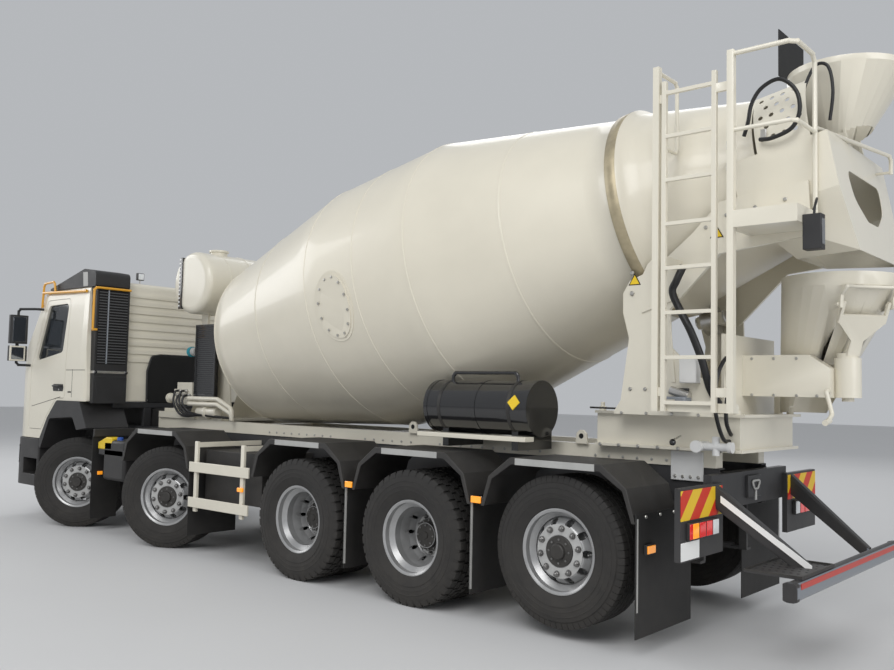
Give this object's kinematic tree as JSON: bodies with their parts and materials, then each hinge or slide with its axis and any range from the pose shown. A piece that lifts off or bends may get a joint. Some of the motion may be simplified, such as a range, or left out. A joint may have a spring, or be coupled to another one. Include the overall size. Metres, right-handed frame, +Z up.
{
  "type": "concrete mixer truck",
  "caption": "Rigid concrete mixer truck with a tilting-axis rotating drum, day cab, charging hopper, swivel chute, ladder and twin-steer front axles.",
  "frame": {"origin": "on the ground below the middle of the truck's overall box", "axes": "+X to the front along the truck, +Y to the left, +Z up"},
  "size_m": [10.435, 3.05, 4.34],
  "materials": {
    "white_paint": "glossy warm white paint",
    "charcoal_plastic": "grained moulded plastic",
    "chassis_paint": "satin dark grey chassis paint",
    "black_paint": "glossy black paint",
    "flap_rubber": "matt black sheet rubber",
    "tyre_rubber": "matt rubber, dusty tread",
    "silver_wheel": "silver-grey wheel paint",
    "bare_steel": "bare running surface",
    "cab_glazing": "clear, slightly tinted",
    "orange_tube": "yellow-orange paint",
    "lamp_lens": "clear moulded lens"
  },
  "bodies": {
    "chassis": {"frame_rails": "chassis_paint", "engine_block": "chassis_paint", "steer_axle_beams": "chassis_paint", "drive_axles": "chassis_paint", "side_boxes": "chassis_paint", "side_guards": "white_paint", "fenders": "charcoal_plastic", "rubber_flaps": "flap_rubber", "cab_shell": "white_paint", "cab_glass": "cab_glazing", "cab_interior": "charcoal_plastic", "front_bumper": "charcoal_plastic", "cab_trim": "charcoal_plastic", "roof_rails": "orange_tube", "lamps": "lamp_lens", "subframe": "white_paint", "drum_drive": "white_paint", "water_tank": "white_paint", "additive_tank": "black_paint", "rear_pedestal": "white_paint", "hood": "white_paint", "hopper": "white_paint", "ladder_frame": "white_paint", "rear_guard": "chassis_paint"},
    "drum": {"drum": "white_paint"},
    "roller_left": {"roller_left": "bare_steel"},
    "roller_right": {"roller_right": "bare_steel"},
    "chute_bracket": {"chute_bracket": "white_paint"},
    "chute": {"chute": "white_paint"},
    "sliding_ladder": {"sliding_ladder": "white_paint"},
    "door_left": {"door_left": "white_paint", "glass_door_left": "cab_glazing"},
    "door_right": {"door_right": "white_paint", "glass_door_right": "cab_glazing"},
    "knuckle_1_left": {"knuckle_1_left": "chassis_paint"},
    "knuckle_1_right": {"knuckle_1_right": "chassis_paint"},
    "knuckle_2_left": {"knuckle_2_left": "chassis_paint"},
    "knuckle_2_right": {"knuckle_2_right": "chassis_paint"},
    "knuckle_5_left": {"knuckle_5_left": "chassis_paint"},
    "knuckle_5_right": {"knuckle_5_right": "chassis_paint"},
    "wheel_1_left": {"rim_1_left": "silver_wheel", "tyre_1_left": "tyre_rubber"},
    "wheel_1_right": {"rim_1_right": "silver_wheel", "tyre_1_right": "tyre_rubber"},
    "wheel_2_left": {"rim_2_left": "silver_wheel", "tyre_2_left": "tyre_rubber"},
    "wheel_2_right": {"rim_2_right": "silver_wheel", "tyre_2_right": "tyre_rubber"},
    "wheel_3_left": {"rim_3_left": "silver_wheel", "tyre_3_left": "tyre_rubber"},
    "wheel_3_right": {"rim_3_right": "silver_wheel", "tyre_3_right": "tyre_rubber"},
    "wheel_4_left": {"rim_4_left": "silver_wheel", "tyre_4_left": "tyre_rubber"},
    "wheel_4_right": {"rim_4_right": "silver_wheel", "tyre_4_right": "tyre_rubber"},
    "wheel_5_left": {"rim_5_left": "silver_wheel", "tyre_5_left": "tyre_rubber"},
    "wheel_5_right": {"rim_5_right": "silver_wheel", "tyre_5_right": "tyre_rubber"}
  },
  "joints": [
    {"name": "drum_spin", "type": "hinge", "parent": "chassis", "child": "drum", "pos_m": [1.7525, 0, 2.13], "axis": [-0.981, 0, 0.1942], "continuous": true},
    {"name": "roller_left_spin", "type": "hinge", "parent": "chassis", "child": "roller_left", "pos_m": [-3.5898, 0.50077, 2.3382], "axis": [-0.981, 0, 0.1942], "continuous": true},
    {"name": "roller_right_spin", "type": "hinge", "parent": "chassis", "child": "roller_right", "pos_m": [-3.5898, -0.50077, 2.3382], "axis": [-0.981, 0, 0.1942], "continuous": true},
    {"name": "chute_swing", "type": "hinge", "parent": "chassis", "child": "chute_bracket", "pos_m": [-4.8075, 0, 1.9], "axis": [0, 0, 1], "range_deg": [-230, 0]},
    {"name": "chute_tilt", "type": "hinge", "parent": "chute_bracket", "child": "chute", "pos_m": [-4.96728, 0.14386, 2.34], "axis": [0.6691, 0.7431, 0], "range_deg": [-8, 0]},
    {"name": "ladder_slide", "type": "slide", "parent": "chassis", "child": "sliding_ladder", "axis": [0, 0, -1], "range_m": [0, 0.42]},
    {"name": "door_left_hinge", "type": "hinge", "parent": "chassis", "child": "door_left", "pos_m": [4.7895, 1.232, 1.9], "axis": [0, 0, -1], "range_deg": [0, 72]},
    {"name": "door_right_hinge", "type": "hinge", "parent": "chassis", "child": "door_right", "pos_m": [4.7895, -1.232, 1.9], "axis": [0, 0, 1], "range_deg": [0, 72]},
    {"name": "steer_1_left", "type": "hinge", "parent": "chassis", "child": "knuckle_1_left", "pos_m": [3.8325, 0.935, 0.532], "axis": [0, 0, 1], "range_deg": [-73.6, 7.4]},
    {"name": "steer_1_right", "type": "hinge", "parent": "chassis", "child": "knuckle_1_right", "pos_m": [3.8325, -0.935, 0.532], "axis": [0, 0, 1], "range_deg": [-73.6, 7.4]},
    {"name": "steer_2_left", "type": "hinge", "parent": "chassis", "child": "knuckle_2_left", "pos_m": [1.8375, 0.935, 0.532], "axis": [0, 0, 1], "range_deg": [-50.1, 5.1]},
    {"name": "steer_2_right", "type": "hinge", "parent": "chassis", "child": "knuckle_2_right", "pos_m": [1.8375, -0.935, 0.532], "axis": [0, 0, 1], "range_deg": [-50.1, 5.1]},
    {"name": "steer_5_left", "type": "hinge", "parent": "chassis", "child": "knuckle_5_left", "pos_m": [-3.2175, 0.935, 0.602], "axis": [0, 0, 1], "range_deg": [-20, 20]},
    {"name": "steer_5_right", "type": "hinge", "parent": "chassis", "child": "knuckle_5_right", "pos_m": [-3.2175, -0.935, 0.602], "axis": [0, 0, 1], "range_deg": [-20, 20]},
    {"name": "spin_1_left", "type": "hinge", "parent": "knuckle_1_left", "child": "wheel_1_left", "pos_m": [3.78064, 1.00235, 0.532], "axis": [-0.6101, 0.7923, 0], "continuous": true},
    {"name": "spin_1_right", "type": "hinge", "parent": "knuckle_1_right", "child": "wheel_1_right", "pos_m": [3.87679, -1.00755, 0.532], "axis": [-0.521, 0.8536, 0], "continuous": true},
    {"name": "spin_2_left", "type": "hinge", "parent": "knuckle_2_left", "child": "wheel_2_left", "pos_m": [1.79891, 1.01074, 0.532], "axis": [-0.454, 0.891, 0], "continuous": true},
    {"name": "spin_2_right", "type": "hinge", "parent": "knuckle_2_right", "child": "wheel_2_right", "pos_m": [1.86727, -1.01462, 0.532], "axis": [-0.3502, 0.9367, 0], "continuous": true},
    {"name": "spin_3_left", "type": "hinge", "parent": "chassis", "child": "wheel_3_left", "pos_m": [-0.4675, 0.91, 0.537], "axis": [0, 1, 0], "continuous": true},
    {"name": "spin_3_right", "type": "hinge", "parent": "chassis", "child": "wheel_3_right", "pos_m": [-0.4675, -0.91, 0.537], "axis": [0, 1, 0], "continuous": true},
    {"name": "spin_4_left", "type": "hinge", "parent": "chassis", "child": "wheel_4_left", "pos_m": [-1.8375, 0.91, 0.537], "axis": [0, 1, 0], "continuous": true},
    {"name": "spin_4_right", "type": "hinge", "parent": "chassis", "child": "wheel_4_right", "pos_m": [-1.8375, -0.91, 0.537], "axis": [0, 1, 0], "continuous": true},
    {"name": "spin_5_left", "type": "hinge", "parent": "knuckle_5_left", "child": "wheel_5_left", "pos_m": [-3.2175, 1.02, 0.602], "axis": [0, 1, 0], "continuous": true},
    {"name": "spin_5_right", "type": "hinge", "parent": "knuckle_5_right", "child": "wheel_5_right", "pos_m": [-3.2175, -1.02, 0.602], "axis": [0, 1, 0], "continuous": true}
  ],
  "couplings": [
    {"joint": "roller_left_spin", "follows": "drum_spin", "ratio": -6.776},
    {"joint": "roller_right_spin", "follows": "drum_spin", "ratio": -6.776},
    {"joint": "steer_1_right", "follows": "steer_1_left", "ratio": 1},
    {"joint": "steer_2_left", "follows": "steer_1_left", "ratio": 0.68},
    {"joint": "steer_2_right", "follows": "steer_1_left", "ratio": 0.68},
    {"joint": "steer_5_right", "follows": "steer_5_left", "ratio": 1}
  ]
}
